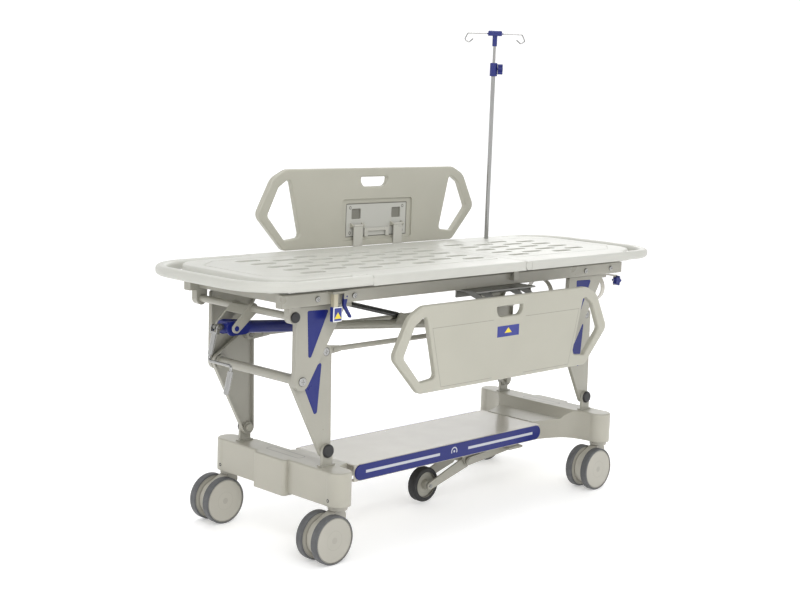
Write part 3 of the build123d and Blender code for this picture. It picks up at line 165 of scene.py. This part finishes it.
def surface(name, colour, rough, metallic=0.0, mottle=0.05, grain=700.0, depth=0.00003, edge=0.0012,
            wear_and_highlight=0.35, wear_and_highlight_colour=None, coat=0.0, paint=None, specular=0.5):
    """Colour variation, roughness variation, fine bump and rubbed edges, partly lightened by a painted edge
    highlight, on one principled shader.

    paint(shade, colour) returns a new colour and a roughness offset, and may add a mask of bare plastic
    on a metal part."""
    s = Shade(name)
    cloud = s.span(s.noise(5.0, 5.0), 0.3, 0.7)
    tone = s.mix(cloud, tint(colour, 1 - mottle), tint(colour, 1 + mottle))
    speck = s.span(s.noise(180.0, 6.0, 0.7), 0.62, 0.80, 0.0, 0.35)
    tone = s.mix(speck, tone, tint(colour, 0.86))

    bevel = s.node("ShaderNodeBevel", samples=6)
    bevel.inputs["Radius"].default_value = edge
    flat = s.node("ShaderNodeNewGeometry").outputs["Normal"]
    align = s.node("ShaderNodeVectorMath", operation="DOT_PRODUCT")
    s.feed(bevel.outputs[0], align.inputs[0])
    s.feed(flat, align.inputs[1])
    # Edge mask from the bevel normal, broken by noise: edges get a rubbed-through colour that is partly a
    # painted edge highlight.
    rim = s.span(align.outputs["Value"], 0.80, 0.99, 1.0, 0.0)
    broken = s.span(s.noise(60.0, 6.0, 0.65), 0.35, 0.62)
    worn_and_highlit = s.both(s.both(rim, broken), wear_and_highlight)
    extra, metal = 0.0, metallic
    if paint:
        tone, extra, *cover = paint(s, tone)
        if cover:
            metal = s.both(s.minus(1.0, cover[0]), metallic)
    # Painted edge highlight, mixed with rubbed edges.
    tone = s.mix(worn_and_highlit, tone, wear_and_highlight_colour or tint(colour, 1.18))
    s.feed(tone, s.shader.inputs["Base Color"])

    haze = s.span(s.noise(9.0, 5.0, 0.6), 0.3, 0.75, rough - 0.04, rough + 0.07)
    haze = s.math("ADD", haze, s.both(worn_and_highlit, 0.12))
    s.feed(s.math("ADD", haze, extra, clamp=True), s.shader.inputs["Roughness"])
    s.feed(metal, s.shader.inputs["Metallic"])
    s.shader.inputs["Coat Weight"].default_value = coat
    s.shader.inputs["Coat Roughness"].default_value = 0.12
    s.shader.inputs["Specular IOR Level"].default_value = specular

    bump = s.node("ShaderNodeBump")
    bump.inputs["Strength"].default_value = 1.0
    bump.inputs["Distance"].default_value = depth
    s.feed(s.noise(grain, 3.0, 0.55), bump.inputs["Height"])
    s.feed(bevel.outputs[0], bump.inputs["Normal"])
    s.feed(bump.outputs[0], s.shader.inputs["Normal"])
    return s.material


def dress(material, *names):
    """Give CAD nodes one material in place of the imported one."""
    for name in names:
        for slot in nodes[name].material_slots:
            slot.material = material


def named(*parts):
    """Names of the CAD nodes that hold any of these words."""
    return [name for name in sorted(nodes) if any(part in name for part in parts)]


# ---------------------------------------------------------------- painted details
def centre(node):
    low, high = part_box(node)
    return (low + high) / 2


def triangle(s, across, up, mid, base, half, height):
    """Mask of an upright triangle on a flat face."""
    rise = s.math("DIVIDE", s.minus(up, base), height)
    reach = s.both(s.minus(1.0, rise), half)
    inside = s.span(s.minus(reach, s.gap(across, mid)), 0.0, 0.0004)
    return s.both(inside, s.band(rise, 0.0, 1.0, 0.01))


def slope(s, across, up, start, end):
    """Signed distance from the straight line through start and end, positive on its left."""
    run, rise = end[0] - start[0], end[1] - start[1]
    size = math.hypot(run, rise)
    a = s.both(s.minus(up, start[1]), run / size)
    b = s.both(s.minus(across, start[0]), rise / size)
    return s.minus(a, b)


def moulding(s, node):
    """Shallow line round the middle of a side rail, next to its two loops and clear of its grip hole."""
    low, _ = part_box(node)
    off = s.gap(s.x, centre(node).x)
    side = slope(s, off, s.z, (0.316, low.z + 0.010), (0.364, low.z + 0.206))
    shape = s.most(s.both(side, -1.0), s.minus(s.z, low.z + 0.200))
    shape = s.most(shape, s.minus(low.z + 0.012, s.z))
    return s.both(s.line(shape), s.above(off, 0.079, 0.001))


def hinge_plate(s, tone, node):
    """Pale plate with a dark edge and four screws in the hinge recess, and painted shade on the walls of the
    two arm pockets.
    """
    half_length, half_height = 0.147, 0.057
    arm_off, arm_half = 0.0975, 0.023
    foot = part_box(node)[0].z
    depth = s.gap(s.y)
    off = s.gap(s.x, centre(node).x + 0.022)
    rise = s.gap(s.z, foot + 0.090)
    recess = s.both(s.below(depth, RECESS_Y[1], 0.00025), s.above(depth, RECESS_Y[0], 0.0002))
    edge = s.most(s.minus(off, half_length), s.minus(rise, half_height))
    tone = s.mix(s.both(s.below(edge, 0.0), recess), tone, PLATE_GREY)
    tone = s.mix(s.both(s.line(edge, 0.0014), recess), tone, tint(RAIL_GREY, 0.22))
    screw = s.minus(s.radius(off, 0.128, rise, 0.044), 0.0045)
    tone = s.mix(s.both(s.line(screw, 0.0012), recess), tone, tint(RAIL_GREY, 0.30))
    # Painted shade darkens the walls of the two arm pockets.
    pocket = s.both(s.above(depth, POCKET_Y[0], 0.0006), s.below(depth, POCKET_Y[1], 0.00025))
    arm = s.both(s.below(s.gap(off, arm_off), arm_half), s.band(s.z, foot + 0.093, foot + 0.131))
    return s.mix(s.both(pocket, arm), tone, tint(RAIL_GREY, 0.45))


def far_rail_paint(s, tone):
    """Hinge plate inside and moulded line outside on the raised rail."""
    tone = hinge_plate(s, tone, "side_rail_far")
    lines = s.both(moulding(s, "side_rail_far"), s.above(s.y, RAIL_FACE_Y))
    return s.mix(lines, tone, tint(RAIL_GREY, 0.62)), 0.0


def near_rail_paint(s, tone):
    """The same on the lowered rail, and a plain blue plate with a yellow triangle on its outer face."""
    tone = hinge_plate(s, tone, "side_rail_near")
    low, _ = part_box("side_rail_near")
    face = s.below(s.y, low.y + 0.001)
    tone = s.mix(s.both(moulding(s, "side_rail_near"), face), tone, tint(RAIL_GREY, 0.62))
    mid, base = centre("side_rail_near").x - 0.006, low.z + 0.141
    plate = s.both(s.band(s.x, mid - 0.054, mid + 0.054), s.band(s.z, base, base + 0.036))
    plate = s.both(plate, face)
    tone = s.mix(plate, tone, LABEL_BLUE)
    mark = s.both(triangle(s, s.x, s.z, mid, base + 0.012, 0.018, 0.017), face)
    return s.mix(mark, tone, YELLOW), s.both(plate, -0.15)


def beam_paint(node, side):
    """Long shallow grip outlined on top of a base beam, and two small dark screws on its outer face.

    side is the sign of x at the beam's outer face."""
    def paint(s, tone):
        low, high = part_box(node)
        edge = low.x if side < 0 else high.x
        middle_z = (low.z + high.z) / 2
        over_x = s.most(s.minus(s.gap(s.x, edge - side * 0.070), 0.004), 0.0)
        over_y = s.most(s.minus(s.gap(s.y), 0.068), 0.0)
        outline = s.minus(s.radius(over_x, 0.0, over_y, 0.0), 0.012)
        grip = s.both(s.line(outline, 0.0018), s.above(s.z, middle_z + 0.001, 0.001))
        tone = s.mix(grip, tone, tint(BASE_GREY, 0.50))
        outer = s.above(s.both(s.minus(s.x, edge), side), -0.061, 0.001)
        away = s.radius(s.gap(s.y), 0.258, s.z, low.z + 0.026)
        screw = s.both(s.line(s.minus(away, 0.0040), 0.0016), outer)
        return s.mix(screw, tone, BLACK), 0.0
    return paint


def trim_paint(s, tone):
    """Two light stripes and a round dial mark along the tray trim."""
    low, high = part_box("tray_trims")
    mid = (low + high) / 2
    side = s.above(s.gap(s.y), high.y - 0.00325, 0.00075)
    run = s.band(s.gap(s.x, mid.x), 0.070, (high.x - low.x) / 2 - 0.045)
    stripe = s.both(run, s.band(s.z, mid.z - 0.004, mid.z + 0.005))
    away = s.radius(s.x, mid.x, s.z, mid.z)
    arc = s.both(s.band(away, 0.011, 0.015), s.above(s.z, mid.z - 0.0055))
    spot = s.band(away, -1.0, 0.004)
    mark = s.both(s.most(stripe, s.most(arc, spot)), side)
    return s.mix(mark, tone, STRIPE_GREY), 0.0


def bracket_paint(s, tone):
    """Cream block above, blue plate with pale border and yellow triangle below."""
    low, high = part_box("release_lever_bracket")
    left, right = low.x + 0.006, low.x + 0.040
    block = s.both(s.band(s.z, low.z + 0.045, high.z - 0.008), s.below(s.x, right - 0.015))
    tone = s.mix(block, tone, BEIGE)
    plate = s.below(s.z, low.z + 0.044)
    tone = s.mix(plate, tone, LABEL_BLUE)
    outer = s.both(s.below(s.y, low.y + 0.0045), plate)
    inner = s.both(s.band(s.x, left + 0.0035, right - 0.0015), s.band(s.z, low.z + 0.003, low.z + 0.041))
    tone = s.mix(s.both(outer, s.minus(1.0, inner)), tone, WHITE)
    mark = triangle(s, s.x, s.z, (left + right) / 2 + 0.001, low.z + 0.009, 0.014, 0.020)
    return s.mix(s.both(mark, outer), tone, YELLOW), 0.0


def wheel_paint(axle, tyre_r, hub, tyre, ring):
    """Tyre outside, hub inside, with moulded rings on the hub."""
    def paint(s, tone):
        away = s.radius(s.x, axle.x, s.z, axle.z)
        rubber = s.above(away, tyre_r, 0.0004)
        tone = s.mix(s.band(away, 0.0, 0.010), tone, tint(hub, 0.86))
        tone = s.mix(s.band(away, 0.029, 0.0298), tone, tint(hub, 0.80))
        tone = s.mix(s.band(away, ring - 0.0012, ring), tone, tint(hub, 0.45))
        dust = s.mix(s.span(s.noise(24.0, 6.0, 0.7), 0.45, 0.75), tyre, tint(tyre, 1.5))
        return s.mix(rubber, tone, dust), s.both(rubber, 0.25)
    return paint


def over(colour, mask_of):
    """Moulded plastic in one colour over part of a metal node."""
    def paint(s, tone):
        mask = mask_of(s)
        return s.mix(mask, tone, colour), s.both(mask, 0.12), mask
    return paint


def collar_mask(s):
    """The clamp collar on top of the lower pole tube."""
    return s.above(s.z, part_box("pole_lower_tube")[1].z - 0.04975, 0.00025)


def hub_mask(s):
    """The hub under the two hooks of the pole."""
    low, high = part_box("pole_upper_tube")
    away = s.radius(s.x, (low.x + high.x) / 2, s.y, (low.y + high.y) / 2)
    return s.both(s.above(s.z, high.z - 0.05675, 0.00025), s.below(away, 0.0300))


def inner_heads(s, tone):
    """The pin heads between the crank plates are pale, the outer caps black."""
    return s.mix(s.below(s.gap(s.y), PIN_HEAD_Y), tone, tint(WARM_GREY, 1.15)), 0.0


# ---------------------------------------------------------------- finishes
powder_coat = surface("warm grey powder coat", WARM_GREY, 0.30, grain=420.0, depth=0.00004, coat=0.25,
                      wear_and_highlight_colour=WORN_AND_HIGHLIT_STEEL)
dress(powder_coat, *named("cranks", "upper_legs", "pivot_posts", "connecting_rod", "push_tube", "deck_frame",
                          "foot_end_tube", "fifth_wheel_bracket", "rocker", "backrest_frame"))

deck_plastic = surface("deck polyethylene", DECK_GREY, 0.40, grain=1500.0, depth=0.00007, edge=0.002,
                       mottle=0.03)
dress(deck_plastic, "foot_board", "head_board", "foot_push_loop", "head_push_loop")

for rail, label, rail_paint in (("side_rail_far", "side rail polyethylene", far_rail_paint),
                                ("side_rail_near", "labelled side rail", near_rail_paint)):
    dress(surface(label, RAIL_GREY, 0.38, grain=1500.0, depth=0.00006, edge=0.002, mottle=0.03,
                  paint=rail_paint), rail)

for beam, side in (("base_beam_foot", -1), ("base_beam_head", 1)):
    dress(surface(f"{beam} shell", BASE_GREY, 0.34, grain=900.0, depth=0.00004, edge=0.002, mottle=0.04,
                  coat=0.1, paint=beam_paint(beam, side)), beam)

tray_coat = surface("tray coat", TRAY_GREY, 0.22, grain=420.0, depth=0.00003, coat=0.4, mottle=0.03)
dress(tray_coat, "storage_tray", "oxygen_bottle_holder")

blue_plastic = surface("gloss blue moulding", BLUE, 0.30, grain=1100.0, depth=0.00002, coat=0.15, wear_and_highlight=0.35,
                       wear_and_highlight_colour=WORN_AND_HIGHLIT_BLUE, specular=0.3)
dress(blue_plastic, *named("inserts", "pole_clamp_knob", "oxygen_holder_knob"), "release_lever")

trim_plastic = surface("striped blue trim", BLUE, 0.32, grain=1100.0, depth=0.00002, coat=0.1, wear_and_highlight=0.3,
                       wear_and_highlight_colour=WORN_AND_HIGHLIT_BLUE, paint=trim_paint, specular=0.3)
dress(trim_plastic, "tray_trims")

blue_coat = surface("gloss blue powder coat", BLUE, 0.30, grain=420.0, depth=0.00003, coat=0.15, wear_and_highlight=0.35,
                    wear_and_highlight_colour=WORN_AND_HIGHLIT_BLUE, specular=0.3)
dress(blue_coat, "jack_housing")

dress(surface("lever bracket", WARM_GREY, 0.32, paint=bracket_paint), "release_lever_bracket")

nylon = surface("black nylon", BLACK, 0.42, grain=1600.0, depth=0.00004, wear_and_highlight=0.5, wear_and_highlight_colour=WORN_AND_HIGHLIT_NYLON)
dress(nylon, "end_tube_caps")

pin_finish = surface("pivot pins", BLACK, 0.42, grain=1600.0, depth=0.00004, wear_and_highlight=0.4, wear_and_highlight_colour=WORN_AND_HIGHLIT_BLACK,
                     paint=inner_heads)
dress(pin_finish, "base_pivot_pins")

enamel = surface("black enamel", BLACK, 0.20, grain=500.0, depth=0.00002, coat=0.5, wear_and_highlight_colour=WORN_AND_HIGHLIT_BLACK)
dress(enamel, "gas_spring_cylinder")

chrome = surface("chrome plate", CHROME, 0.09, metallic=1.0, mottle=0.03, grain=2200.0, depth=0.000004,
                 wear_and_highlight=0.2, wear_and_highlight_colour=WORN_AND_HIGHLIT_CHROME)
dress(chrome, *named("rod_bolts", "leg_bolts", "knee_pins", "backrest_pins"), "crank_handle", "crank_grip",
      "gas_spring_rod")

for tube, label, mask_of in (("pole_lower_tube", "chrome tube with a blue collar", collar_mask),
                             ("pole_upper_tube", "chrome hooks on a blue hub", hub_mask)):
    dress(surface(label, CHROME, 0.10, metallic=1.0, mottle=0.03, grain=2200.0, depth=0.000004, wear_and_highlight=0.2,
                  wear_and_highlight_colour=WORN_AND_HIGHLIT_TUBE, paint=over(BLUE, mask_of)), tube)

zinc = surface("zinc plate", ZINC, 0.34, metallic=1.0, mottle=0.12, grain=300.0, depth=0.00001, wear_and_highlight=0.3)
dress(zinc, *named("rail_bracket", "jack_screw"))

arm_enamel = surface("arm enamel", ARM_GREY, 0.28, grain=420.0, depth=0.00003, coat=0.2, wear_and_highlight=0.6,
                     wear_and_highlight_colour=WORN_ARM)
dress(arm_enamel, *named("swing_arms", "latch_bar"))

castor_shell = surface("castor shell", tint(HUB_GREY, 1.05), 0.40, grain=1200.0, depth=0.00004, mottle=0.04)
for number in range(1, 5):
    dress(castor_shell, f"castor_fork_{number}")
    wheel = f"castor_wheel_{number}"
    dress(surface(f"castor {number} wheel", HUB_GREY, 0.36, grain=900.0, depth=0.00003, coat=0.1,
                  paint=wheel_paint(centre(wheel), CASTOR_R, HUB_GREY, TYRE_GREY, CASTOR_RING_R)), wheel)
dress(surface("fifth wheel", WARM_GREY, 0.40, grain=900.0, depth=0.00003,
              paint=wheel_paint(centre("fifth_wheel"), FIFTH_R, DARK_HUB_GREY, BLACK, FIFTH_RING_R)),
      "fifth_wheel")


# ---------------------------------------------------------------- stage, light and camera
def bowl(radius, rise, steps=96):
    """Pale floor whose far edge curves up all the way round, so no horizon shows."""
    profile = [(radius * 0.5, 0.0), (radius, 0.0)]
    for i in range(1, 13):
        turn = math.radians(90 * i / 12)
        profile.append((radius + rise * math.sin(turn), rise * (1 - math.cos(turn))))
    profile.append((radius + rise, rise * 2.2))
    mesh = bmesh.new()
    rings = []
    for r, z in profile:
        turns = [math.tau * i / steps for i in range(steps)]
        rings.append([mesh.verts.new((r * math.cos(turn), r * math.sin(turn), z)) for turn in turns])
    middle = mesh.verts.new((0, 0, 0))
    for i in range(steps):
        following = (i + 1) % steps
        mesh.faces.new((middle, rings[0][i], rings[0][following]))
        for inner, outer in zip(rings, rings[1:]):
            mesh.faces.new((inner[i], outer[i], outer[following], inner[following]))
    data = bpy.data.meshes.new("floor")
    mesh.to_mesh(data)
    mesh.free()
    data.shade_smooth()
    made = bpy.data.objects.new("floor", data)
    bpy.context.scene.collection.objects.link(made)
    return made


floor = bowl(8.0, 3.0)
floor_finish = Shade("pale studio floor")
floor_tone = floor_finish.mix(floor_finish.noise(1.5), (0.90, 0.90, 0.90), (0.93, 0.93, 0.93))
floor_finish.feed(floor_tone, floor_finish.shader.inputs["Base Color"])
floor_finish.shader.inputs["Roughness"].default_value = 0.75
floor_finish.shader.inputs["Emission Color"].default_value = (1.0, 1.0, 1.0, 1.0)
floor_finish.shader.inputs["Emission Strength"].default_value = 0.30
floor.data.materials.append(floor_finish.material)

world = bpy.data.worlds.new("studio")
bpy.context.scene.world = world
world.use_nodes = True
backdrop = world.node_tree.nodes["Background"]
backdrop.inputs["Color"].default_value = (1.0, 1.0, 1.0, 1.0)
backdrop.inputs["Strength"].default_value = 0.60


def softbox(name, at, target, size, watts):
    """Square area light aimed at a point."""
    lamp = bpy.data.lights.new(name, "AREA")
    lamp.size = size
    lamp.energy = watts
    made = bpy.data.objects.new(name, lamp)
    made.location = at
    made.rotation_euler = (Vector(target) - Vector(at)).to_track_quat("-Z", "Y").to_euler()
    bpy.context.scene.collection.objects.link(made)


softbox("key", (-2.6, -3.6, 4.2), (0, 0, 0.6), 2.6, 95)
softbox("top", (0.4, 0.6, 4.8), (0, 0, 0.5), 3.5, 70)
softbox("rim", (3.6, 2.4, 3.0), (0, 0, 0.7), 2.2, 35)

CAMERA_AT = Vector((-3.3791, -3.2194, 1.3913))
CAMERA_FORWARD = Vector((0.70420, 0.69466, -0.14681))
CAMERA_RIGHT = Vector((0.70552, -0.70783, 0.03493))
CAMERA_UP = CAMERA_RIGHT.cross(CAMERA_FORWARD)
camera = bpy.data.cameras.new("camera")
camera.sensor_width = 36.0
camera.lens = 62.96
view = bpy.data.objects.new("camera", camera)
facing = Matrix((CAMERA_RIGHT, CAMERA_UP, -CAMERA_FORWARD)).transposed()
view.matrix_world = Matrix.Translation(CAMERA_AT) @ facing.to_4x4()
bpy.context.scene.collection.objects.link(view)
bpy.context.scene.camera = view
bpy.context.scene.view_settings.view_transform = "Standard"
